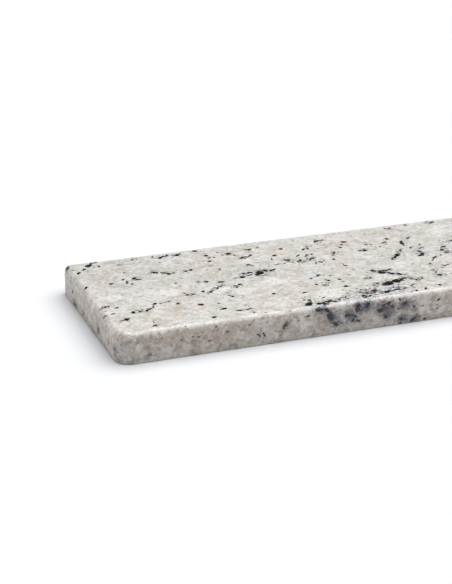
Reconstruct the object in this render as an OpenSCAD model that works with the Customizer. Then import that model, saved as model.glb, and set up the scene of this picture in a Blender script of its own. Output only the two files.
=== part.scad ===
// Granite slab for a leatherworking bench: one piece of stone with a polished
// top, four rounded upright corners, a wide polished arris round the top and a
// small eased arris round the bottom. The front corners are rounder than the
// back ones.
//
// Frame: the origin is the middle of the underside. X runs along the slab, Y
// runs from the front edge (-Y) to the back edge (+Y), and Z is up.

/* [Slab] */
// Length of the slab, from end to end
slab_length = 450; // [200:5:900]
// Width of the slab, from front to back
slab_width = 150; // [80:5:400]
// Thickness of the stone
slab_thickness = 25; // [12:1:50]

/* [Edges] */
// Radius of the two front upright corners, seen from above
front_corner_radius = 12; // [6:0.5:35]
// Radius of the two back upright corners, seen from above
back_corner_radius = 6.5; // [6:0.5:35]
// Radius of the polished arris round the top face
top_arris_radius = 4.5; // [1:0.25:5.5]
// Radius of the eased arris round the underside
bottom_arris_radius = 1; // [0.25:0.25:3]

/* [Hidden] */

// Steps in a full circle, the same for the corners and for both arrises.
$fn = 96;
// How far the arris cutters reach outside the stone.
cutter_overshoot = 1;
stone_colour = "#d3d0c8";

// Y of the centres of the front and of the back upright corners.
front_centres = front_corner_radius - slab_width / 2;
back_centres = slab_width / 2 - back_corner_radius;
// Lengths of the straight sides between those centres.
front_length = slab_length - 2 * front_corner_radius;
back_length = slab_length - 2 * back_corner_radius;
end_length = back_centres - front_centres;

// What an arris takes off a sharp edge whose corner is at the origin and whose
// stone lies towards -X and -Y.
module arris_waste(radius) {
    translate([-radius, -radius])
        difference() {
            square(radius + cutter_overshoot);
            circle(radius);
        }
}

// Cross-section of the rim, from depth inside the side face (x = 0) out to the
// side face (x = depth), and from the underside up to the top.
module rim_profile(depth) {
    difference() {
        square([depth, slab_thickness]);
        translate([depth, slab_thickness]) arris_waste(top_arris_radius);
        translate([depth, 0]) mirror([0, 1]) arris_waste(bottom_arris_radius);
    }
}

// A straight stretch of rim, which runs along Y from the origin and faces +X.
module straight_rim(length, depth) {
    translate([0, length, 0])
        rotate([90, 0, 0])
            linear_extrude(length) rim_profile(depth);
}

// The quarter turn of rim round an upright corner, between +X and +Y.
module corner_rim(radius) {
    rotate_extrude(angle = 90) rim_profile(radius);
}

// The right end's rim, with the two upright corners beside it.
module end_and_corners() {
    translate([back_length / 2, front_centres, 0]) straight_rim(end_length, back_corner_radius);
    translate([back_length / 2, back_centres, 0]) corner_rim(back_corner_radius);
    translate([front_length / 2, front_centres, 0]) rotate(-90) corner_rim(front_corner_radius);
}

module granite_slab() {
    color(stone_colour)
        union() {
            translate([-back_length / 2, front_centres, 0])
                cube([back_length, end_length, slab_thickness]);
            translate([-front_length / 2, front_centres, 0])
                rotate(-90) straight_rim(front_length, front_corner_radius);
            translate([back_length / 2, back_centres, 0])
                rotate(90) straight_rim(back_length, back_corner_radius);
            for (side = [0, 1]) mirror([side, 0, 0]) end_and_corners();
        }
}

granite_slab();
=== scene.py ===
"""Looks of the granite slab: its stone, the pale studio floor, the light and the camera."""
import math
import random

import bpy
from mathutils import Matrix, Vector, noise


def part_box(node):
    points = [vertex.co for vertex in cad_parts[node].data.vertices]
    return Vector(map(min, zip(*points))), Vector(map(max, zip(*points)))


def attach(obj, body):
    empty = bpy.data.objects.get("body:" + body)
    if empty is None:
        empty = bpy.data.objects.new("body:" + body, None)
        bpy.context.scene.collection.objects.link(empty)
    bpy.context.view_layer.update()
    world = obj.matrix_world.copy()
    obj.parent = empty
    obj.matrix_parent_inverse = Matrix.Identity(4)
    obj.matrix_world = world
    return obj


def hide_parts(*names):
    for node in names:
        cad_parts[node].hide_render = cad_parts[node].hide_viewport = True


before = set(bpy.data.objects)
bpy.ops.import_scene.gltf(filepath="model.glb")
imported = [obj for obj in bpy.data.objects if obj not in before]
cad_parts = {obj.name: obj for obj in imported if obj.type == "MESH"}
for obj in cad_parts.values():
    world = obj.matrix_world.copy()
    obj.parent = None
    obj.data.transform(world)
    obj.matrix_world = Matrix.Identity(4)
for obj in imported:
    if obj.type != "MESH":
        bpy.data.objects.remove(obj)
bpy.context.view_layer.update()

MM = 0.001
NODE = "granite_slab"
low, high = (Vector(corner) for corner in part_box(NODE))
LENGTH, WIDTH, THICKNESS = high - low
CENTRE = (low + high) / 2

# ---------------------------------------------------------------- the stone's shape
FRONT_CORNER = 12 * MM
BACK_CORNER = 6.5 * MM
TOP_ARRIS = 4.5 * MM
BOTTOM_ARRIS = 1 * MM

ARC_STEPS = 12        # faces round each upright corner
LENGTH_STEPS = 284    # faces along the straight part of a long side, about 1.5 mm each
WIDTH_STEPS = 64      # faces along the straight part of an end, about 2 mm each
TOP_ARRIS_STEPS = 12
SIDE_STEPS = 12
BOTTOM_ARRIS_STEPS = 4
QUARTER_TURN = math.pi / 2

# How far the hand-held polishing pads wander inside the true shape, and how far apart the waves are.
ARRIS_WANDER = 0.16 * MM
SIDE_WANDER = 0.05 * MM
WANDER_LENGTH = 22 * MM
# How much of the sides' wandering reaches up into the top arris: it fades with this power of the slope.
SIDE_FADE = 4
# Small nicks that sawing leaves in the bottom arris.
NICK_DEPTH = 0.5 * MM
NICK_LENGTH = 4 * MM
NICK_RARITY = 0.42
NICK_STEEPNESS = 4
NICK_PATTERN = Vector((7, 3, 5))    # sets the nicks' pattern apart from the waves'


def side_rays(side, radius):
    """Points of the outline along the front (side -1) or the back (side 1), from left to right.

    Each comes with the direction outwards there. They take in the whole upright corner at either end.
    """
    anchor = Vector((radius - LENGTH / 2, side * (WIDTH / 2 - radius)))
    turns = [QUARTER_TURN * step / ARC_STEPS for step in range(ARC_STEPS + 1)]
    left = []
    for turn in turns:
        out = Vector((-math.cos(turn), side * math.sin(turn)))
        left.append((anchor + out * radius, out))
    middle = []
    for step in range(1, LENGTH_STEPS):
        place = Vector((anchor.x * (1 - 2 * step / LENGTH_STEPS), side * WIDTH / 2))
        middle.append((place, Vector((0, side))))
    right = [(Vector((-edge.x, edge.y)), Vector((-out.x, out.y))) for edge, out in reversed(left)]
    return left + middle + right


# The plan is a grid of columns, each from a front point to the back point that belongs to it.
COLUMNS = list(zip(side_rays(-1, FRONT_CORNER), side_rays(1, BACK_CORNER)))
LAST = len(COLUMNS) - 1


def plan_point(column, row, inset):
    """A point of that grid on a flat face whose rim lies at inset inside the outline."""
    (front, front_out), (back, back_out) = COLUMNS[column]
    return (front - front_out * inset).lerp(back - back_out * inset, row / WIDTH_STEPS)


def rim_cells():
    """The rim's cells of that grid, as (column, row), once round: front, right end, back, left end."""
    front = [(column, 0) for column in range(LAST)]
    right = [(LAST, row) for row in range(WIDTH_STEPS)]
    back = [(column, WIDTH_STEPS) for column in range(LAST, 0, -1)]
    left = [(0, row) for row in range(WIDTH_STEPS, 0, -1)]
    return front + right + back + left


def rim_ray(cell):
    """A rim cell's point of the outline and its direction outwards."""
    column, row = cell
    front, back = COLUMNS[column]
    if row == WIDTH_STEPS:
        return back
    return plan_point(column, row, 0), front[1]


RIM = rim_cells()
RAYS = [rim_ray(cell) for cell in RIM]
RIM_PLACE = {cell: place for place, cell in enumerate(RIM)}


def rim_profile():
    """The rows of the rim from the top face down to the underside.

    Each is (inset, height, slope, part): inset is how far the row lies inside the outline, slope is how far
    the surface has turned from facing up, and part is which stretch of the rim the row belongs to.
    """
    rows = []
    for step in range(TOP_ARRIS_STEPS + 1):
        slope = QUARTER_TURN * step / TOP_ARRIS_STEPS
        inset = TOP_ARRIS * (1 - math.sin(slope))
        height = THICKNESS - TOP_ARRIS * (1 - math.cos(slope))
        rows.append((inset, height, slope, "top_arris"))
    drop = THICKNESS - TOP_ARRIS - BOTTOM_ARRIS
    for step in range(1, SIDE_STEPS):
        height = THICKNESS - TOP_ARRIS - drop * step / SIDE_STEPS
        rows.append((0, height, QUARTER_TURN, "side"))
    for step in range(BOTTOM_ARRIS_STEPS + 1):
        slope = QUARTER_TURN * (1 + step / BOTTOM_ARRIS_STEPS)
        inset = BOTTOM_ARRIS * (1 - math.sin(slope))
        height = BOTTOM_ARRIS * (1 + math.cos(slope))
        rows.append((inset, height, slope, "bottom_arris"))
    return rows


PROFILE = rim_profile()


def wander(place, slope, part):
    """How far the real surface lies inside the true shape here."""
    wave = 0.5 + 0.5 * noise.noise(place / WANDER_LENGTH)
    if part == "top_arris":
        side_share = (slope / QUARTER_TURN) ** SIDE_FADE
        return ARRIS_WANDER * wave * math.sin(2 * slope) + SIDE_WANDER * wave * side_share
    depth = SIDE_WANDER * wave
    if part == "bottom_arris":
        depth *= max(0.0, math.sin(slope))
        nick = max(0.0, noise.noise(place / NICK_LENGTH + NICK_PATTERN) - NICK_RARITY)
        depth += NICK_DEPTH * min(1.0, nick * NICK_STEEPNESS) * math.sin(math.pi - (slope - QUARTER_TURN))
    return depth


def stone_points():
    """The stone's points, and their numbers in the grids of the flat faces and the rings of the rim."""
    points = []

    def add(plan, height):
        points.append((CENTRE.x + plan.x, CENTRE.y + plan.y, low.z + height))
        return len(points) - 1

    def flat_face(rim_row):
        inset, height = PROFILE[rim_row][:2]
        rows = range(WIDTH_STEPS + 1)
        return [[add(plan_point(column, row, inset), height) for row in rows] for column in range(LAST + 1)]

    top, underside = flat_face(0), flat_face(-1)
    rings = [[top[column][row] for column, row in RIM]]
    for inset, height, slope, part in PROFILE[1:-1]:
        ring = []
        for edge, out in RAYS:
            plan = edge - out * inset
            depth = wander(Vector((plan.x, plan.y, height)), slope, part)
            ring.append(add(plan - out * depth * math.sin(slope), height - depth * math.cos(slope)))
        rings.append(ring)
    rings.append([underside[column][row] for column, row in RIM])
    return points, top, underside, rings


def flat_quads(top, underside):
    """The quads of the two flat faces, each with its corners' places on the map."""
    quads = []
    for column in range(LAST):
        for row in range(WIDTH_STEPS):
            cells = ((column, row), (column + 1, row), (column + 1, row + 1), (column, row + 1))
            quads.append(([top[c][r] for c, r in cells], [top_spot(0, cell) for cell in cells]))
            cells = cells[::-1]
            quads.append(([underside[c][r] for c, r in cells], [underside_spot(-1, cell) for cell in cells]))
    return quads


def rim_quads(rings):
    """The quads of the rim, each with its corners' places on the map."""
    quads = []
    side_start = TOP_ARRIS_STEPS
    side_end = TOP_ARRIS_STEPS + SIDE_STEPS
    for row in range(len(PROFILE) - 1):
        for here in range(len(RIM)):
            after = (here + 1) % len(RIM)
            steps = ((row + 1, here), (row + 1, after), (row, after), (row, here))
            if row < side_start:
                spots = [top_spot(r, RIM[c]) for r, c in steps]
            elif row < side_end:
                spots = [side_spot(r, c, here) for r, c in steps]
            else:
                spots = [underside_spot(r, RIM[c]) for r, c in steps]
            quads.append(([rings[r][c] for r, c in steps], spots))
    return quads


def slab_mesh():
    """The stone as one closed mesh of quads, with the map that its pattern is baked through."""
    points, top, underside, rings = stone_points()
    quads = flat_quads(top, underside) + rim_quads(rings)
    mesh = bpy.data.meshes.new("stone")
    mesh.from_pydata(points, [], [corners for corners, _ in quads])
    chart = mesh.uv_layers.new(name="OFBake")
    chart.data.foreach_set("uv", [value for _, spots in quads for spot in spots for value in spot])
    mesh.polygons.foreach_set("use_smooth", [True] * len(mesh.polygons))
    mesh.validate()
    mesh.update()
    return mesh


# ---------------------------------------------------------------- the map of its surface
# Every part of the surface is laid out flat at one scale: the top with its arris unrolled round it, the
# underside the same way, and the sides as strips.
CHART_MARGIN = 0.006
CHART_CENTRE = 0.5
TOP_UNROLLED = QUARTER_TURN * TOP_ARRIS
UNDERSIDE_UNROLLED = QUARTER_TURN * BOTTOM_ARRIS
CHART_SCALE = (1 - 2 * CHART_MARGIN) / (LENGTH - 2 * TOP_ARRIS + 2 * TOP_UNROLLED)
TOP_HALF = (WIDTH / 2 - TOP_ARRIS + TOP_UNROLLED) * CHART_SCALE
UNDERSIDE_HALF = (WIDTH / 2 - BOTTOM_ARRIS + UNDERSIDE_UNROLLED) * CHART_SCALE
TOP_MIDDLE = CHART_MARGIN + TOP_HALF
UNDERSIDE_MIDDLE = TOP_MIDDLE + TOP_HALF + 2 * CHART_MARGIN + UNDERSIDE_HALF
STRIP_HEIGHT = (THICKNESS - TOP_ARRIS - BOTTOM_ARRIS) * CHART_SCALE
STRIPS_FROM = UNDERSIDE_MIDDLE + UNDERSIDE_HALF + 2 * CHART_MARGIN


def unrolled(cell, turned, radius):
    """A cell's plan point on a flat face with its arris unrolled outwards, turned so far from that face."""
    if cell not in RIM_PLACE:
        return plan_point(*cell, radius)
    edge, out = RAYS[RIM_PLACE[cell]]
    return edge + out * radius * (turned - 1)


def top_spot(rim_row, cell):
    slope = PROFILE[rim_row][2]
    plan = unrolled(cell, slope, TOP_ARRIS)
    return CHART_CENTRE + plan.x * CHART_SCALE, TOP_MIDDLE + plan.y * CHART_SCALE


def underside_spot(rim_row, cell):
    slope = PROFILE[rim_row][2]
    plan = unrolled(cell, math.pi - slope, BOTTOM_ARRIS)
    return CHART_CENTRE - plan.x * CHART_SCALE, UNDERSIDE_MIDDLE + plan.y * CHART_SCALE


def way_round():
    """How far round the slab each rim cell lies, with the whole way as the last number."""
    outline = [edge for edge, _ in RAYS]
    ways = [0.0]
    for here, there in zip(outline, outline[1:] + outline[:1]):
        ways.append(ways[-1] + (there - here).length)
    return ways


WAYS = way_round()
# Each strip holds one upright corner and the side after it, as (first rim cell, place along, lane).
STRIPS = (
    (0, CHART_MARGIN, 0),
    (LAST - ARC_STEPS, CHART_MARGIN, 2),
    (LAST + WIDTH_STEPS, CHART_MARGIN, 1),
    (2 * LAST + WIDTH_STEPS - ARC_STEPS, CHART_CENTRE, 2),
)


def side_spot(rim_row, cell, face_cell):
    """Where a corner of the side face at face_cell lies on its strip."""
    start, along, lane = [strip for strip in STRIPS if strip[0] <= face_cell][-1]
    way = WAYS[cell] if cell or not face_cell else WAYS[-1]
    rise = (PROFILE[rim_row][1] - BOTTOM_ARRIS) * CHART_SCALE
    foot = STRIPS_FROM + lane * (STRIP_HEIGHT + 2 * CHART_MARGIN)
    return along + (way - WAYS[start]) * CHART_SCALE, foot + rise


# ---------------------------------------------------------------- short calls for shader nodes
class Graph:
    """Adds nodes to one node tree. Every call gives back the new node's main output."""

    def __init__(self, tree):
        self.tree = tree

    def node(self, kind, inputs=(), output=0, **settings):
        made = self.tree.nodes.new(kind)
        for name, value in settings.items():
            setattr(made, name, value)
        for name, value in dict(inputs).items():
            self.feed(made.inputs[name], value)
        return made.outputs[output]

    def feed(self, socket, value):
        if isinstance(value, bpy.types.NodeSocket):
            self.tree.links.new(value, socket)
        else:
            socket.default_value = value

    def math(self, operation, *values):
        return self.node("ShaderNodeMath", enumerate(values), operation=operation)

    def vector(self, operation, *values):
        output = "Value" if operation == "LENGTH" else "Vector"
        return self.node("ShaderNodeVectorMath", enumerate(values), output, operation=operation)

    def scaled(self, vector, factor):
        return self.node("ShaderNodeVectorMath", {0: vector, "Scale": factor}, operation="SCALE")

    def noise(self, at, size, detail=2.0, roughness=0.5, output="Fac"):
        """Soft noise whose features are about size across."""
        inputs = {"Vector": at, "Scale": 1 / size, "Detail": detail, "Roughness": roughness}
        return self.node("ShaderNodeTexNoise", inputs, output)

    def cells(self, at, size, output):
        """Cells about size across: their random colours, or the distance to their hearts."""
        return self.node("ShaderNodeTexVoronoi", {"Vector": at, "Scale": 1 / size}, output)

    def step(self, value, start, end, low_value=0.0, high_value=1.0):
        """A smooth rise from low_value where value is start to high_value where it is end."""
        ends = {"From Min": start, "From Max": end, "To Min": low_value, "To Max": high_value}
        inputs = {"Value": value, **ends}
        return self.node("ShaderNodeMapRange", inputs, interpolation_type="SMOOTHSTEP")

    def share(self, value, rise):
        """From 0 to a cover. The rise is where on value that starts and is full, and the cover."""
        start, end, cover = rise
        return self.step(value, start, end, 0.0, cover)

    def mix(self, share, first, second, blend="MIX"):
        """Colours mixed: second over first."""
        inputs = {0: share, 6: first, 7: second}
        return self.node("ShaderNodeMix", inputs, 2, data_type="RGBA", blend_type=blend)

    def over(self, colour, value, rise, mineral):
        """A mineral over the colour, as its rise says."""
        return self.mix(self.share(value, rise), colour, mineral)

    def part(self, colour, channel):
        return self.node("ShaderNodeSeparateColor", {"Color": colour}, channel)

    def axis(self, vector, name):
        return self.node("ShaderNodeSeparateXYZ", {"Vector": vector}, name)


def rgb(red, green, blue):
    return (red, green, blue, 1.0)


# ---------------------------------------------------------------- where the minerals lie
# Places and sizes are in millimetres, from the left end, the front edge and the underside, and turns are in
# degrees. The ones on the top are (x, y, length, width, turn), those on the front face (x, z, length, width,
# turn), and those on the left end (y, z, length, width, turn). Garnets are (x, y, size), on the top.
# They were placed one by one.
TOP_MICA = (
    # 2 to 57 mm from the left end, from the back to the front
    (2, 143, 10, 3, 60), (25, 145, 7, 3, 20), (19, 140, 8, 4, 45), (27, 136, 4, 2, 70),
    (13, 133, 6, 2.5, 60), (7, 127, 6, 2.4, 60), (36, 102, 4.5, 2, 60), (46, 102, 5, 3.4, 45),
    (48, 99, 4.4, 3, -15), (25, 97, 4.6, 3, 60), (4, 96, 5, 2.4, 45), (38, 96, 6, 2.4, 75),
    (41, 92, 3.4, 2.4, 60), (8, 55, 8, 2.6, 10), (15, 50, 3.4, 2.6, 30), (45, 48, 4.6, 3.4, 45),
    (57, 49, 4, 2.4, 60), (9, 40, 4, 2.2, 30), (24, 38, 4.4, 3, 80), (29, 38, 4, 2, 15),
    (35, 38, 4.6, 2.8, 30), (38, 40, 5, 2.2, 30), (42, 43, 4, 1.6, 60), (15, 27, 7, 4, 20),
    (33, 16, 5, 1.2, 75), (32, 9, 4.4, 3.6, 45),
    # 65 to 123 mm
    (75, 142, 4, 1.8, 60), (81, 138, 6, 3.4, 45), (84, 140, 5, 2.6, 30), (87, 141, 4, 2.4, 60),
    (99, 141, 4, 2.2, 60), (96, 139, 6, 4, 45), (93, 140, 4, 2, 0), (123, 124, 4, 1.6, 70),
    (65, 109, 4.4, 4.6, 45), (67, 107, 4, 1.8, 70), (71, 106, 4, 2.6, -60), (74, 104, 5, 2.4, -45),
    (76, 102, 4.6, 2.8, 0), (80, 103, 4, 1.8, 40), (91, 103, 4, 2.6, 45), (95, 104, 6, 2.8, 50),
    (118, 98, 3.6, 1.4, 70), (74, 81, 2.6, 2.4, 30), (92, 78, 3, 2.6, 20), (98, 77, 4.6, 3.4, 30),
    (109, 72, 5, 3, 0), (75, 56, 4, 2, 15), (79, 56, 3, 2.8, 0), (89, 59, 3, 2.6, 45),
    (102, 62, 6, 2.4, 42), (106, 64, 6, 1.8, 25), (117, 61, 3.6, 3, 0), (118, 59, 3.6, 2.4, -60),
    (122, 63, 3.4, 2.8, 45), (106, 44, 4, 2.6, -45), (92, 33, 3, 2.8, 0), (92, 22, 5, 4.4, 45),
    (89, 21, 3, 1.6, 15), (103, 15, 8, 2.2, -10), (109, 15, 8, 2.2, 15), (79, 9, 5, 2.6, 45),
    # 130 to 193 mm
    (130, 134, 3, 1.8, 70), (158, 131, 4, 3.2, 45), (167, 134, 4.4, 2, 70), (137, 128, 6, 3.6, 45),
    (145, 116, 7, 1.8, 45), (153, 118, 7, 2.2, 25), (168, 105, 4.4, 1.5, 65), (144, 100, 4, 2.2, 15),
    (133, 83, 4, 3.4, 0), (138, 83, 6, 3, 10), (130, 77, 6, 4.6, 30), (137, 78, 6, 2.4, 8),
    (147, 81, 10, 7, 45), (151, 83, 8, 4.6, 15), (144, 78, 7, 4, 0), (157, 82, 8, 2.8, 12),
    (160, 83, 4, 2, 45), (178, 99, 5, 4, 45), (180, 98, 5, 2.2, 80), (181, 93, 3.4, 1.8, 15),
    (174, 93, 3, 1.5, 40), (140, 37, 3, 2.4, 45), (181, 56, 3, 2.6, 0), (189, 60, 5, 2.6, 30),
    (193, 47, 3.4, 2.6, 60), (185, 40, 3.4, 2.6, 60), (164, 31, 4.4, 2.8, 20), (158, 17, 3.4, 2, 30),
    (160, 15, 4.4, 2.2, 70), (158, 9, 8, 5.6, 45), (161, 15, 6, 3, 75), (166, 7, 6, 4, 30),
    (173, 8, 12, 4, 12), (179, 7, 6, 3, 0), (170, 4, 6, 3, 0), (184, 10, 5, 1.4, 20),
    (191, 13, 3.4, 1.3, 45), (174, 17, 2.8, 2.2, 0),
    # 187 to 254 mm
    (219, 130, 5, 2.6, 65), (222, 132, 5, 2.8, 20), (225, 131, 4.4, 3, 20), (202, 117, 4, 2.4, 50),
    (206, 119, 3.4, 2.6, 60), (192, 106, 6, 2.2, 50), (200, 104, 5, 2.8, 25), (198, 102, 4, 1.6, 45),
    (204, 104, 3, 1.6, 60), (187, 94, 3.4, 2, 60), (189, 94, 6, 2.2, 75), (190, 91, 4, 2, 15),
    (200, 96, 5.5, 2.6, 15), (197, 93, 4, 2.2, 40), (199, 85, 4, 1.4, 65), (203, 87, 4.4, 1.8, -60),
    (204, 85, 2.6, 2.2, 0), (223, 101, 6.4, 2.2, 65), (220, 97, 5, 2.2, 35), (217, 88, 4, 3.2, 40),
    (219, 75, 3, 1.8, 80), (220, 72, 3.4, 3, -15), (202, 47, 3.4, 2, 60), (201, 32, 6.6, 3.4, 0),
    (209, 21, 3.6, 2.8, 40), (206, 17, 3.2, 2.6, 0), (205, 10, 5, 3, 60), (206, 7, 6, 3.2, 10),
    (210, 8, 4.6, 3.2, 20), (212, 14, 6, 2.6, -10), (220, 18, 4, 2, 50), (223, 27, 4, 2, 35),
    (227, 29, 3, 2.6, 45), (227, 11, 9, 3.6, 30), (222, 9, 4, 1.4, 0), (236, 26, 13, 7, 15),
    (246, 29, 16, 6.6, 15), (254, 32, 9, 3, 10), (236, 55, 6, 4, -30), (241, 49, 9, 5, -15),
    (245, 52, 14, 2.4, 0), (246, 47, 4, 3, 15), (249, 44, 6, 4, -30), (254, 41, 10, 4.4, -30),
    (223, 42, 3, 2, 10), (227, 41, 4, 2, 30), (236, 13, 5, 2.4, 20), (244, 13, 4, 2.4, 35),
    (247, 6, 3, 2, 45), (250, 5, 3.6, 2.4, 60),
    # 247 to 319 mm
    (292, 140, 3.2, 2.4, 45), (313, 142, 4.4, 2.2, 65), (281, 117, 4.4, 2.4, 70), (300, 113, 5, 2, 50),
    (289, 103, 12, 3.8, 70), (251, 98, 5.6, 3.2, 15), (247, 99, 5, 1.8, 15), (267, 102, 2.6, 2, 45),
    (291, 91, 4, 2.2, 65), (298, 88, 5, 2.6, 30), (276, 86, 5, 1.8, 50), (279, 88, 4, 2, 40),
    (264, 73, 5, 3, 75), (268, 76, 9, 3.4, 45), (272, 80, 9, 5, 45), (293, 82, 4, 3, 30),
    (291, 73, 6, 4, 30), (294, 77, 9, 4, 75), (319, 84, 7, 4.4, 45), (314, 78, 7, 4, 60),
    (315, 72, 5, 4, 45), (300, 65, 4, 2.2, 30), (296, 61, 7, 1.1, 42), (298, 45, 4.4, 1.8, 30),
    (302, 47, 3, 1.6, 10), (283, 40, 4, 2.2, 20), (285, 36, 3, 2, 60), (284, 29, 5, 3.2, 0),
    (266, 26, 6.4, 1.8, 50), (261, 26, 3.6, 1.6, 70), (252, 16, 5, 1.6, 40), (259, 7, 4.4, 1.8, 55),
    (274, 10, 3.4, 3, 15), (251, 53, 4, 2.2, 10), (289, 53, 3.4, 2, 50),
)
# Loose crowds of flecks, which don't close up into a streak.
TOP_SPRAY = (
    (5, 134, 6, 3, -45), (24, 135, 6, 3, 0), (15, 129, 4, 2, 60), (46, 134, 7, 3, 0), (57, 141, 5, 4, 60),
    (61, 142, 4, 3, 75), (81, 139, 14, 6, 10), (95, 139, 10, 6, 10), (65, 111, 10, 7, 45),
    (75, 104, 14, 6, -30), (85, 107, 5, 4, 60), (92, 104, 10, 5, 30), (32, 108, 5, 3, 60),
    (42, 117, 5, 4, 30), (47, 100, 8, 7, 45), (101, 117, 4, 4, 45), (114, 107, 5, 4, 45), (98, 87, 4, 4, 0),
    (83, 71, 5, 3, 60), (7, 55, 11, 5, 10), (32, 39, 22, 5, 10), (52, 48, 10, 3, 15), (62, 43, 4, 4, 60),
    (74, 60, 4, 3, 80), (78, 56, 10, 5, 0), (95, 57, 9, 4, 45), (104, 64, 14, 5, 30), (86, 47, 4, 4, 0),
    (73, 46, 3, 4, 0), (119, 61, 12, 6, 15), (111, 8, 4, 3, 75), (15, 27, 11, 6, 20), (53, 22, 4, 2, 60),
    (2, 40, 4, 4, 60), (125, 76, 9, 4, 15), (134, 80, 14, 8, 5), (148, 80, 20, 13, 30), (144, 98, 7, 5, 0),
    (149, 117, 16, 5, 25), (131, 127, 4, 3, 45), (138, 128, 9, 7, 45), (156, 131, 9, 5, 0),
    (168, 93, 6, 3, 0), (178, 98, 9, 8, 45), (188, 93, 9, 8, 60), (199, 95, 12, 7, 15),
    (200, 104, 10, 5, 30), (203, 87, 12, 6, -60), (207, 88, 4, 7, 0), (206, 119, 13, 5, 45),
    (222, 131, 12, 7, 30), (221, 99, 12, 6, 50), (230, 100, 4, 4, 0), (181, 63, 3, 3, 60),
    (190, 61, 12, 8, 15), (198, 57, 3, 4, 60), (187, 41, 10, 7, 45), (192, 48, 6, 6, 45),
    (203, 44, 3, 7, 0), (219, 67, 4, 2, 60), (222, 62, 4, 3, 60), (225, 42, 11, 4, 15),
    (160, 13, 9, 13, 75), (171, 8, 24, 6, 5), (187, 12, 10, 3, 20), (208, 11, 12, 12, 0),
    (210, 20, 8, 8, 45), (217, 26, 4, 4, 60), (219, 16, 11, 7, 45), (216, 8, 4, 3, 0), (225, 27, 12, 6, 30),
    (227, 11, 12, 6, 30), (214, 13, 34, 20, 0), (236, 16, 30, 14, 15), (182, 8, 28, 9, 5),
    (242, 28, 32, 11, 17), (239, 13, 16, 11, 15), (248, 6, 8, 6, 15), (241, 51, 18, 8, -20),
    (252, 42, 14, 7, -20), (254, 18, 12, 4, 40), (264, 27, 12, 6, 30), (258, 30, 9, 6, 0),
    (275, 58, 4, 4, 0), (289, 53, 6, 5, 45), (285, 40, 9, 5, 30), (283, 34, 8, 5, 45), (285, 29, 9, 6, 0),
    (297, 44, 14, 4, 40), (299, 64, 12, 4, 40), (308, 69, 5, 3, 45), (293, 77, 10, 12, 60),
    (299, 88, 10, 6, 15), (269, 77, 18, 8, 45), (277, 86, 12, 6, 45), (290, 102, 14, 5, 70),
    (250, 99, 13, 6, 10), (258, 110, 6, 5, 75), (275, 110, 9, 6, 45), (281, 117, 7, 5, 70),
    (294, 138, 8, 7, 45), (300, 113, 8, 4, 45), (314, 76, 9, 13, 45), (318, 84, 8, 6, 30),
    (274, 10, 8, 6, 0), (302, 96, 4, 3, 60), (302, 132, 5, 4, 0), (334, 144, 6, 6, 0), (313, 142, 6, 4, 60),
)
FRONT_MICA = (
    (153, 19, 3, 1.4, 0), (163, 23, 8, 3, -10), (170, 21, 8, 2.6, -30), (172, 16, 9, 4.4, -55),
    (177, 9, 6, 3, -30), (187, 15, 5, 3, -20), (194, 13, 4, 2, -45), (192, 10, 3.6, 2.4, 0),
    (197, 9, 4.4, 2.2, -20), (196, 20, 8, 4.4, 80), (204, 21, 7, 3.6, 55), (207, 24, 3, 1.4, 0),
    (216, 15, 5.5, 4, -20), (219, 19, 6, 2.2, 25), (223, 20, 4, 2.6, 20), (226, 17, 5, 2, -30),
    (221, 9, 5, 2.8, -25), (233, 22, 2.6, 1.6, -45), (232, 14, 1.8, 1.6, 0), (237, 18, 5, 3.4, 0),
    (246, 14, 3, 1.8, -45), (246, 3, 5, 2.8, 25), (235, 5, 4, 2.4, 0), (234, 1, 3, 2, 0),
    (268, 17, 2.8, 1.8, 15), (112, 9, 4, 1.4, -45), (117, 9, 4, 1.3, -65), (134, 14, 6.5, 1.6, 60),
    (252, 5, 1.6, 1.2, 60), (256, 2, 2.6, 1.2, 0),
)
FRONT_SPRAY = (
    (166, 22, 16, 6, -15), (174, 15, 12, 9, -50), (179, 9, 9, 6, -20), (190, 14, 13, 8, -30),
    (197, 19, 9, 12, 80), (204, 20, 10, 9, 50), (220, 17, 20, 11, -10), (222, 10, 10, 7, -20),
    (238, 17, 12, 8, 0), (246, 13, 6, 5, -40), (236, 5, 9, 7, 0), (247, 3, 8, 5, 20), (211, 18, 4, 2, 0),
    (135, 14, 10, 4, 60), (24, 6, 5, 2, 0),
)
END_MICA = ((51, 8, 7, 2.6, -60), (122, 12, 4, 2, -45), (126, 20, 5, 1.8, 75), (115, 3, 8, 2.6, 0))
END_SPRAY = ((51, 8, 9, 7, -60), (115, 4, 12, 6, 0), (92, 5, 7, 4, 0), (10, 10, 6, 5, 0))
GARNETS = (
    (113, 143, 4), (118, 130, 3.8), (119, 124, 2.8), (117, 117, 3.4), (138, 128, 4.6), (141, 123, 2.4),
    (158, 131, 3.2), (155, 132, 2.6), (173, 112, 3.8), (184, 124, 3.6), (242, 122, 4.6), (238, 117, 3),
    (234, 111, 3), (78, 35, 4.4), (218, 16, 4.6), (262, 109, 2.4), (90, 103, 2.4), (62, 43, 2.8),
    (107, 42, 3), (236, 56, 3), (180, 43, 2.8), (94, 56, 3), (281, 117, 3.2), (295, 139, 2.6),
    (188, 39, 2.4), (74, 60, 2.2), (118, 98, 2),
)
# Quartz round the biggest streaks: bluish white on the top, and blue-grey on the front face.
TOP_HALOS = (
    (170, 3, 30, 12, 0), (200, 6, 36, 12, 0), (228, 20, 40, 16, 15), (240, 6, 40, 12, 0),
    (246, 46, 20, 9, -15), (140, 80, 24, 12, 0), (318, 78, 18, 16, 60), (294, 78, 10, 12, 75),
)
FRONT_HALOS = (
    (165, 22, 18, 7, -15), (174, 15, 14, 10, -45), (190, 14, 16, 10, -30), (198, 20, 16, 12, 75),
    (221, 15, 20, 14, 0), (238, 17, 13, 11, 0), (236, 5, 13, 9, 0), (247, 4, 9, 7, 15),
    (204, 21, 12, 11, 45),
)
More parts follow.
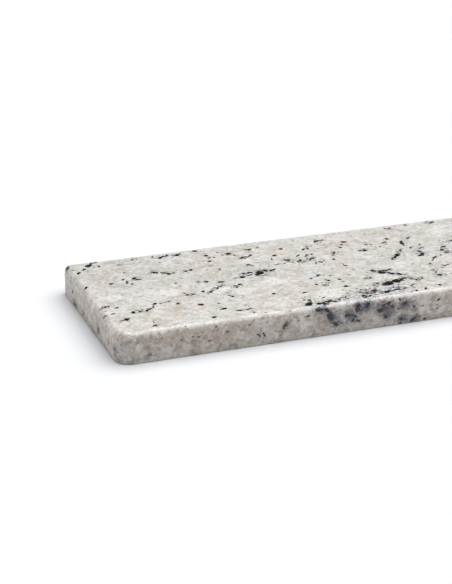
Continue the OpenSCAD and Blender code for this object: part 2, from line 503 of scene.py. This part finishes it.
# Pure white feldspar, and feldspar stained pinkish and olive by iron.
TOP_WHITES = (
    (146, 106, 14, 9, 60), (214, 95, 12, 8, 45), (183, 23, 24, 17, 10), (240, 44, 12, 7, -15),
    (150, 60, 22, 14, 0), (120, 48, 18, 10, 15), (335, 120, 26, 20, 45), (106, 58, 14, 7, 30),
    (232, 22, 12, 4, 15), (222, 13, 8, 3, 30), (265, 60, 20, 12, 30), (60, 66, 24, 14, 0),
    (20, 70, 16, 12, 0), (380, 40, 24, 16, 15), (400, 110, 26, 14, 0), (430, 70, 18, 14, 30),
    (345, 30, 20, 12, 0), (365, 80, 22, 14, 15),
)
TOP_PINKS = (
    (33, 120, 11, 9, 0), (20, 115, 9, 6, 0), (44, 141, 18, 5, 5), (42, 126, 7, 9, 0), (81, 63, 10, 7, 45),
    (152, 23, 9, 9, 0), (174, 35, 10, 9, 45), (131, 26, 8, 8, 0), (95, 57, 8, 5, 45), (54, 34, 14, 8, 15),
    (66, 19, 3, 5, 60), (238, 40, 8, 2, 75), (284, 127, 14, 3, 75), (293, 135, 6, 5, 45),
    (224, 120, 8, 6, 0), (239, 11, 6, 7, 0), (92, 6, 4, 4, 0), (165, 68, 5, 6, 0), (110, 108, 30, 6, 15),
    (267, 58, 6, 5, 0), (212, 54, 4, 4, 0), (101, 20, 8, 2, 75), (140, 120, 20, 6, 15),
    (390, 85, 18, 8, 15), (420, 25, 12, 10, 0), (350, 60, 10, 8, 45), (438, 130, 14, 8, 0),
    (370, 135, 16, 7, 0),
)
# Faint, broad grey patches that make the top a little darker: two at the left and one at the right.
TOP_GREYING = ((40, 112, 110, 80, 0), (115, 95, 70, 60, 15), (420, 60, 70, 60, 0))
FRONT_WHITES = (
    (117, 17, 14, 10, 60), (148, 14, 14, 16, 75), (132, 6, 10, 8, 0), (98, 12, 9, 8, 0),
    (181, 17, 10, 9, 45), (210, 8, 12, 8, 0), (230, 10, 9, 8, 0), (258, 13, 16, 16, 75),
    (274, 8, 12, 10, 0), (150, 24, 60, 4, 0),
)
FRONT_PINKS = (
    (75, 15, 34, 14, 0), (48, 17, 22, 12, 0), (135, 12, 12, 20, 45), (104, 16, 10, 14, 60),
    (205, 8, 16, 6, 0), (168, 8, 14, 8, 30), (30, 15, 20, 10, 0), (86, 8, 18, 8, 0),
)

# The direction that grains and streaks tend to lie in, and the degrees that streaks' turns are rounded to.
FOLIATION = math.radians(14)
TURN_STEP = 15
# A loose crowd of flakes counts as lying this much farther out than a streak, in a body this much bigger.
LOOSENESS = 0.92
LOOSE_SPREAD = 2.6
# A body is this thick, and thicker by its thickening for each millimetre of its width.
# Half of that lies in the stone.
LEAST_DEPTH = 2

# Mica in ones, twos and threes at random, where the tables hold none: the right of the top and of the
# front, the back, the right end and the underside. Each row is how many streaks at least, where they lie in
# x, y and z (a pair is a range), their mean length, and the axis that their face looks along.
LONG, WIDE, THICK = LENGTH / MM, WIDTH / MM, THICKNESS / MM
STRAYS = (
    (44, (322, LONG), (0, WIDE), THICK, 6, "Z"),
    (34, (0, LONG), WIDE, (2, THICK), 4.5, "Y"),
    (12, LONG, (5, WIDE - 5), (2, THICK), 4.5, "X"),
    (14, (296, LONG), 0, (2, THICK), 4.5, "Y"),
    (44, (0, LONG), (0, WIDE), 0, 8, "Z"),
)
STRAY_SEED = 11
GROUP_SIZES = (1, 1, 2, 3)
GROUP_SCATTER = {"X": (0, 4, 3), "Y": (4, 0, 3), "Z": (4, 4, 0)}
STRAY_LENGTHS = (0.5, 1.5)
STRAY_SLIMNESS = (0.3, 0.6)
STRAY_TURNING = 28
CROWD_GROWTH = 2
GARNET_SQUASH = 0.85


def streak(x, y, z, length, width, depth, turn, about="Z", loose=False):
    """A flattened ellipsoid of mineral as (centre, half sizes, axis and turn, looseness)."""
    turn = round(turn / TURN_STEP) * TURN_STEP % 180
    centre = Vector((x, y, z))
    half = LOOSE_SPREAD / 2 if loose else 0.5
    sizes = {"Z": (length, width, depth), "Y": (length, depth, width), "X": (depth, length, width)}[about]
    lie = (about, -turn if about == "Y" else turn)
    return centre, [half * size for size in sizes], lie, LOOSENESS if loose else 0.0


def on_top(rows, thicken=1.2, loose=False):
    return [streak(x, y, THICK, length, width, LEAST_DEPTH + thicken * width, turn, "Z", loose)
            for x, y, length, width, turn in rows]


def on_front(rows, thicken=1.5, loose=False):
    return [streak(x, 0, z, length, width, LEAST_DEPTH + thicken * width, turn, "Y", loose)
            for x, z, length, width, turn in rows]


def on_left_end(rows, thicken=1.5, loose=False):
    return [streak(0, y, z, length, width, LEAST_DEPTH + thicken * width, turn, "X", loose)
            for y, z, length, width, turn in rows]


def stray_streaks(generator, count, reaches, size, about):
    """Random streaks along the foliation, in small groups, whose second streak has a loose crowd round it."""
    streaks = []
    while len(streaks) < count:
        centre = [generator.uniform(*reach) if isinstance(reach, tuple) else reach for reach in reaches]
        for member in range(generator.choice(GROUP_SIZES)):
            scatter = GROUP_SCATTER[about]
            x, y, z = (value + generator.gauss(0, amount) for value, amount in zip(centre, scatter))
            length = size * generator.uniform(*STRAY_LENGTHS)
            width = length * generator.uniform(*STRAY_SLIMNESS)
            turn = math.degrees(FOLIATION) + generator.gauss(0, STRAY_TURNING)
            streaks.append(streak(x, y, z, length, width, width, turn, about))
            if member == 1:
                length, width = length * CROWD_GROWTH, width * CROWD_GROWTH
                streaks.append(streak(x, y, z, length, width, width, turn, about, True))
    return streaks


def all_mica():
    mica = on_top(TOP_MICA) + on_front(FRONT_MICA) + on_left_end(END_MICA)
    mica += on_top(TOP_SPRAY, loose=True) + on_front(FRONT_SPRAY, loose=True)
    mica += on_left_end(END_SPRAY, loose=True)
    generator = random.Random(STRAY_SEED)
    for count, x, y, z, size, about in STRAYS:
        mica += stray_streaks(generator, count, (x, y, z), size, about)
    return mica


def all_garnets():
    return on_top([(x, y, size, size * GARNET_SQUASH, 0) for x, y, size in GARNETS])


def inside(g, at, bodies):
    """How deep a place lies in the nearest of these bodies: 1 at its heart, 0 at its skin, less outside."""
    nearest = None
    for about, turn in sorted({lie for _, _, lie, _ in bodies}):
        unturn = Matrix.Rotation(math.radians(-turn), 3, about)
        level = g.node("ShaderNodeMapping", {"Vector": at, "Rotation": unturn.to_euler()})
        for centre, halves, lie, looseness in bodies:
            if lie != (about, turn):
                continue
            shares = [1 / half for half in halves]
            shift = [-place * share for place, share in zip(unturn @ centre, shares)]
            reach = g.vector("LENGTH", g.vector("MULTIPLY_ADD", level, shares, shift))
            if looseness:
                reach = g.math("ADD", reach, looseness)
            nearest = reach if nearest is None else g.math("MINIMUM", nearest, reach)
    return g.math("SUBTRACT", 1.0, nearest)


# ---------------------------------------------------------------- the stone's material
WHITE_FELDSPAR = rgb(0.680, 0.665, 0.632)
PURE_FELDSPAR = rgb(0.800, 0.792, 0.775)
CREAM_FELDSPAR = rgb(0.580, 0.542, 0.485)
PINK_FELDSPAR = rgb(0.520, 0.410, 0.335)
OCHRE_FELDSPAR = rgb(0.560, 0.470, 0.360)
GREY_QUARTZ = rgb(0.400, 0.400, 0.375)
OLIVE_GRAIN = rgb(0.330, 0.310, 0.240)
BROWN_GRAIN = rgb(0.300, 0.245, 0.210)
MICA = rgb(0.010, 0.0095, 0.0095)
MICA_ON_SIDES = rgb(0.024, 0.025, 0.029)
FLECK = rgb(0.060, 0.050, 0.042)
GARNET = rgb(0.060, 0.010, 0.014)
GARNET_HALO = rgb(0.420, 0.260, 0.240)
BLUE_QUARTZ = rgb(0.270, 0.285, 0.320)
BLUE_WHITE_QUARTZ = rgb(0.620, 0.630, 0.660)
# Painted shade: the sides' colour is multiplied by this, and by the lighter, warmer value below near the top.
SIDE_PAINTED_SHADE = rgb(0.845, 0.812, 0.787)
RIM_PAINTED_SHADE = rgb(0.960, 0.910, 0.885)

GRAIN_SIZE = 4.6
SMALL_GRAIN_SIZE = 1.7
FLECK_SIZE = 2.2
FLAKE_SIZE = 1.1
PATCH_SIZE = 12
CLOUD_SIZE = 7
FRAY_SIZE = 2
CROWD_SIZE = 22
NOISE_MEAN = 0.5
# Pushes that make the minerals' outlines ragged, as (size of a wave, amount), one on top of the other.
RAGGED_PUSHES = ((5, 2.6), (1.4, 1.5))
CLOUD_PUSH = (6, 5)
# How much shorter space is along the foliation, which draws cells out into long grains.
GRAIN_SQUEEZE = 0.75
FLAKE_SQUEEZE = 0.6
FLECK_SQUEEZE = 0.5
HEIGHT_SQUEEZE = 0.9
CREAM_TO_WHITE = (0.36, 0.60)

# Where each mineral starts, where it is full, and how much it covers there. Grains go by their cell's random
# number from 0 to 1, and placed bodies by their depth, which is 1 at the heart and 0 at the skin.
OCHRE_GRAINS = (0.84, 0.94, 0.34)
GREY_GRAINS = (0.66, 0.84, 0.32)
WHITE_GRAINS = (0.70, 0.88, 0.40)
SMALL_WHITE_GRAINS = (0.60, 0.80, 0.50)
SMALL_GREY_GRAINS = (0.76, 0.86, 0.36)
SMALL_OLIVE_GRAINS = (0.88, 0.93, 0.38)
WHITE_BODIES = (-0.5, 0.6, 0.9)
PINK_BODIES = (-0.6, 0.8, 0.5)
GREYING_BODIES = (-0.3, 0.6, 0.20)
TOP_HALO_BODIES = (-0.4, 0.8, 0.65)
FRONT_HALO_BODIES = (-0.3, 0.8, 0.9)
GARNET_HALO_BODIES = (-0.8, 0.1, 0.5)
GARNET_BODIES = (-0.3, 0.1, 1.0)
MOTTLE = (0.46, 0.64, 0.75)

# Single flecks: how much the crowds count, the sum at which a cell becomes a fleck, and where its rim lies.
CROWD_PULL = 0.35
FLECK_CHOICE = (1.12, 1.15)
FLECK_RIM = (0.42, 0.22)
FLECK_COVER = 0.8
# Mica streaks: how their depth turns into flakes, into the soft edge that they have on the sides, and how
# much paler the outer flakes are.
FLAKES_BY_DEPTH = (-0.75, 0.5)
FLAKE_EDGE = (0.0, 0.10)
FRAY_AMOUNT = 2.6
SOFT_BY_DEPTH = (-0.75, 0.6)
THINNED_BY_DEPTH = (-0.5, 0.3, 0.5, 1.0)

# How far up the surface's normal points where the sides start, and where they are full. The top arris lies
# between them, so it gets part of the sides' rougher finish and of their painted shade, which dims its
# highlight.
SIDES_START = 0.995
SIDES_FULL = 0.5
# Heights in millimetres between which the sides' painted shade turns into the lighter, warmer painted shade
# near the rim.
RIM_START = 16
RIM_FULL = 23
TOP_ROUGHNESS = 0.14
EXTRA_SIDE_ROUGHNESS = 0.30
STONE_IOR = 1.5


def along_foliation(g, place, squeeze):
    """Space turned and squeezed along the foliation, in which round cells are long grains."""
    inputs = {"Vector": place, "Rotation": (0, 0, -FOLIATION), "Scale": (squeeze, 1, HEIGHT_SQUEEZE)}
    return g.node("ShaderNodeMapping", inputs)


def pushed(g, place, size, amount):
    """The same place pushed about at random, by up to about half the amount."""
    push = g.vector("SUBTRACT", g.noise(place, size, 2.0, 0.6, "Color"), (NOISE_MEAN,) * 3)
    return g.vector("ADD", place, g.scaled(push, amount))


def ground_colour(g, place, ragged, sides):
    """Feldspar and quartz with faint stains, without the dark minerals."""
    drawn = along_foliation(g, ragged, GRAIN_SQUEEZE)
    grain = g.cells(drawn, GRAIN_SIZE, "Color")
    small = g.cells(drawn, SMALL_GRAIN_SIZE, "Color")
    patch = g.noise(drawn, PATCH_SIZE, 3.0, 0.65)
    colour = g.mix(g.step(patch, *CREAM_TO_WHITE), CREAM_FELDSPAR, WHITE_FELDSPAR)
    colour = g.over(colour, g.part(grain, "Blue"), OCHRE_GRAINS, OCHRE_FELDSPAR)
    whites = inside(g, ragged, on_top(TOP_WHITES, 0.3) + on_front(FRONT_WHITES, 0.3))
    colour = g.over(colour, whites, WHITE_BODIES, PURE_FELDSPAR)
    colour = g.over(colour, g.part(grain, "Red"), GREY_GRAINS, GREY_QUARTZ)
    colour = g.over(colour, g.part(grain, "Green"), WHITE_GRAINS, PURE_FELDSPAR)
    pinks = inside(g, ragged, on_top(TOP_PINKS, 0.6) + on_front(FRONT_PINKS, 0.6))
    colour = g.over(colour, pinks, PINK_BODIES, PINK_FELDSPAR)
    colour = g.over(colour, inside(g, ragged, on_top(TOP_GREYING, 0.6)), GREYING_BODIES, GREY_QUARTZ)
    colour = g.over(colour, g.part(small, "Red"), SMALL_WHITE_GRAINS, PURE_FELDSPAR)
    colour = g.over(colour, g.part(small, "Green"), SMALL_GREY_GRAINS, GREY_QUARTZ)
    colour = g.over(colour, g.part(small, "Blue"), SMALL_OLIVE_GRAINS, OLIVE_GRAIN)
    return g.mix(g.math("MULTIPLY", sides, mottle(g, place)), colour, BROWN_GRAIN)


def mottle(g, place):
    """The cloudy brown and grey patches that the sides show, where the saw opened the grains end on."""
    cloud = g.noise(pushed(g, place, *CLOUD_PUSH), CLOUD_SIZE, 5.0, 0.7)
    return g.share(cloud, MOTTLE)


def fleck_share(g, place, ragged):
    """Small single flecks of mica, in loose crowds."""
    drawn = along_foliation(g, ragged, FLECK_SQUEEZE)
    chance = g.part(g.cells(drawn, FLECK_SIZE, "Color"), "Red")
    heart = g.cells(drawn, FLECK_SIZE, "Distance")
    crowd = g.noise(place, CROWD_SIZE, 2.0)
    chosen = g.step(g.math("ADD", chance, g.math("MULTIPLY", crowd, CROWD_PULL)), *FLECK_CHOICE)
    return g.math("MULTIPLY", chosen, g.step(heart, *FLECK_RIM))


def mica_share(g, place, ragged, sides):
    """Streaks of black mica: solid in their hearts, and broken into single flakes at their rims."""
    depth = inside(g, ragged, all_mica())
    flake = g.part(g.cells(along_foliation(g, ragged, FLAKE_SQUEEZE), FLAKE_SIZE, "Color"), "Red")
    crisp = g.step(g.math("SUBTRACT", g.step(depth, *FLAKES_BY_DEPTH), flake), *FLAKE_EDGE)
    fray = g.math("SUBTRACT", g.noise(place, FRAY_SIZE, 3.0, 0.7), NOISE_MEAN)
    cloud = g.math("MULTIPLY", fray, FRAY_AMOUNT)
    soft = g.math("MULTIPLY", g.step(g.math("ADD", depth, cloud), *SOFT_BY_DEPTH), sides)
    thinned = g.math("MULTIPLY", crisp, g.step(depth, *THINNED_BY_DEPTH))
    return g.math("MAXIMUM", thinned, soft)


def stone_colour(g, place, ragged, sides):
    """The ground colour with the halos, flecks, mica and garnets over it, and painted shade that darkens the
    sides, less so near the top.
    """
    colour = ground_colour(g, place, ragged, sides)
    colour = g.over(colour, inside(g, ragged, on_top(TOP_HALOS, 0.6)), TOP_HALO_BODIES, BLUE_WHITE_QUARTZ)
    colour = g.over(colour, inside(g, ragged, on_front(FRONT_HALOS)), FRONT_HALO_BODIES, BLUE_QUARTZ)
    colour = g.mix(g.math("MULTIPLY", fleck_share(g, place, ragged), FLECK_COVER), colour, FLECK)
    mica = mica_share(g, place, ragged, sides)
    colour = g.mix(mica, colour, g.mix(sides, MICA, MICA_ON_SIDES))
    garnet = inside(g, ragged, all_garnets())
    colour = g.over(colour, garnet, GARNET_HALO_BODIES, GARNET_HALO)
    colour = g.over(colour, garnet, GARNET_BODIES, GARNET)
    # Painted shade: the sides and the arris are darkened, less so in their top few millimetres.
    near_rim = g.step(g.axis(place, "Z"), RIM_START, RIM_FULL)
    return g.mix(sides, colour, g.mix(near_rim, SIDE_PAINTED_SHADE, RIM_PAINTED_SHADE), "MULTIPLY")


def polished_granite():
    material = bpy.data.materials.new("pale_granite")
    material.use_nodes = True
    g = Graph(material.node_tree)
    shader = material.node_tree.nodes["Principled BSDF"]

    # Place in the stone in millimetres, from the left end, the front edge and the underside.
    place = g.node("ShaderNodeTexCoord", output="Object")
    place = g.vector("MULTIPLY_ADD", place, (1 / MM,) * 3, (-low.x / MM, -low.y / MM, -low.z / MM))
    ragged = place
    for size, amount in RAGGED_PUSHES:
        ragged = pushed(g, ragged, size, amount)
    # 0 on the polished top and underside, 1 on the sides.
    up = g.math("ABSOLUTE", g.axis(g.node("ShaderNodeNewGeometry", output="Normal"), "Z"))
    sides = g.step(up, SIDES_START, SIDES_FULL)

    g.feed(shader.inputs["Base Color"], stone_colour(g, place, ragged, sides))
    rougher = g.math("MULTIPLY", sides, EXTRA_SIDE_ROUGHNESS)
    g.feed(shader.inputs["Roughness"], g.math("ADD", rougher, TOP_ROUGHNESS))
    shader.inputs["IOR"].default_value = STONE_IOR
    return material


# ---------------------------------------------------------------- studio
FLOOR_SIZE = 60
FLOOR_COLOUR = rgb(0.79, 0.80, 0.82)
FLOOR_ROUGHNESS = 0.9
FLOOR_GLOSS = 0.1


def studio_floor():
    half = FLOOR_SIZE / 2
    corners = [(-half, -half, low.z), (half, -half, low.z), (half, half, low.z), (-half, half, low.z)]
    mesh = bpy.data.meshes.new("studio_floor")
    mesh.from_pydata(corners, [], [(0, 1, 2, 3)])
    floor = bpy.data.objects.new("studio_floor", mesh)
    bpy.context.collection.objects.link(floor)
    material = bpy.data.materials.new("matte_floor")
    material.use_nodes = True
    shader = material.node_tree.nodes["Principled BSDF"]
    shader.inputs["Base Color"].default_value = FLOOR_COLOUR
    shader.inputs["Roughness"].default_value = FLOOR_ROUGHNESS
    shader.inputs["Specular IOR Level"].default_value = FLOOR_GLOSS
    mesh.materials.append(material)


# The backdrop is pale up to SKY_START above the horizon and dark from SKY_END on. It stands behind the slab,
# and its brightness rises to SIDE_GLOW on the left. BEHIND and TO_THE_LEFT are the Y and the X of a direction
# where that starts and is full.
SKY_LOW = rgb(1.0, 1.0, 1.0)
SKY_HIGH = rgb(0.06, 0.06, 0.062)
SKY_START = math.radians(9)
SKY_END = math.radians(17)
BEHIND = (-0.5, 0.1)
TO_THE_LEFT = (-0.3, -0.8)
SIDE_GLOW = 2.6
# One large soft light, overhead and slightly to the right.
KEY_STRENGTH = 3.9
KEY_SPREAD = math.radians(80)
KEY_FROM = Vector((0.36, 0.07, 1.0))


def studio_backdrop():
    world = bpy.data.worlds.new("studio")
    bpy.context.scene.world = world
    world.use_nodes = True
    g = Graph(world.node_tree)
    direction = g.node("ShaderNodeTexCoord", output="Generated")
    height, ahead, across = (g.axis(direction, name) for name in "ZYX")
    low_down = g.step(height, math.sin(SKY_END), math.sin(SKY_START))
    pale = g.math("MULTIPLY", low_down, g.step(ahead, *BEHIND))
    backdrop = world.node_tree.nodes["Background"]
    g.feed(backdrop.inputs["Color"], g.mix(pale, SKY_HIGH, SKY_LOW))
    g.feed(backdrop.inputs["Strength"], g.step(across, *TO_THE_LEFT, 1.0, SIDE_GLOW))


def studio_light():
    lamp = bpy.data.lights.new("key", "SUN")
    lamp.energy = KEY_STRENGTH
    lamp.angle = KEY_SPREAD
    key = bpy.data.objects.new("key", lamp)
    bpy.context.collection.objects.link(key)
    key.rotation_euler = KEY_FROM.to_track_quat("Z", "Y").to_euler()


CAMERA_AT = Vector((-0.5148, -0.9990, 0.4709))
CAMERA_YAW = math.radians(22.05)
CAMERA_PITCH = math.radians(22.95)
CAMERA_ROLL = math.radians(1.22)
CAMERA_LENS = 89.4
SENSOR_WIDTH = 36


def studio_camera():
    reach = math.cos(CAMERA_PITCH)
    forward = Vector((math.sin(CAMERA_YAW) * reach, math.cos(CAMERA_YAW) * reach, -math.sin(CAMERA_PITCH)))
    level = Vector((math.cos(CAMERA_YAW), -math.sin(CAMERA_YAW), 0))
    rise = level.cross(forward)
    right = level * math.cos(CAMERA_ROLL) + rise * math.sin(CAMERA_ROLL)
    up = rise * math.cos(CAMERA_ROLL) - level * math.sin(CAMERA_ROLL)
    camera = bpy.data.objects.new("camera", bpy.data.cameras.new("camera"))
    bpy.context.collection.objects.link(camera)
    camera.data.lens = CAMERA_LENS
    camera.data.sensor_width = SENSOR_WIDTH
    turned = Matrix((right, up, -forward)).transposed().to_4x4()
    camera.matrix_world = Matrix.Translation(CAMERA_AT) @ turned
    bpy.context.scene.camera = camera


stone = bpy.data.objects.new("polished_slab", slab_mesh())
bpy.context.collection.objects.link(stone)
stone.data.materials.append(polished_granite())
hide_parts(NODE)
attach(stone, "root")
studio_floor()
studio_backdrop()
studio_light()
studio_camera()
bpy.context.scene.view_settings.view_transform = "Standard"
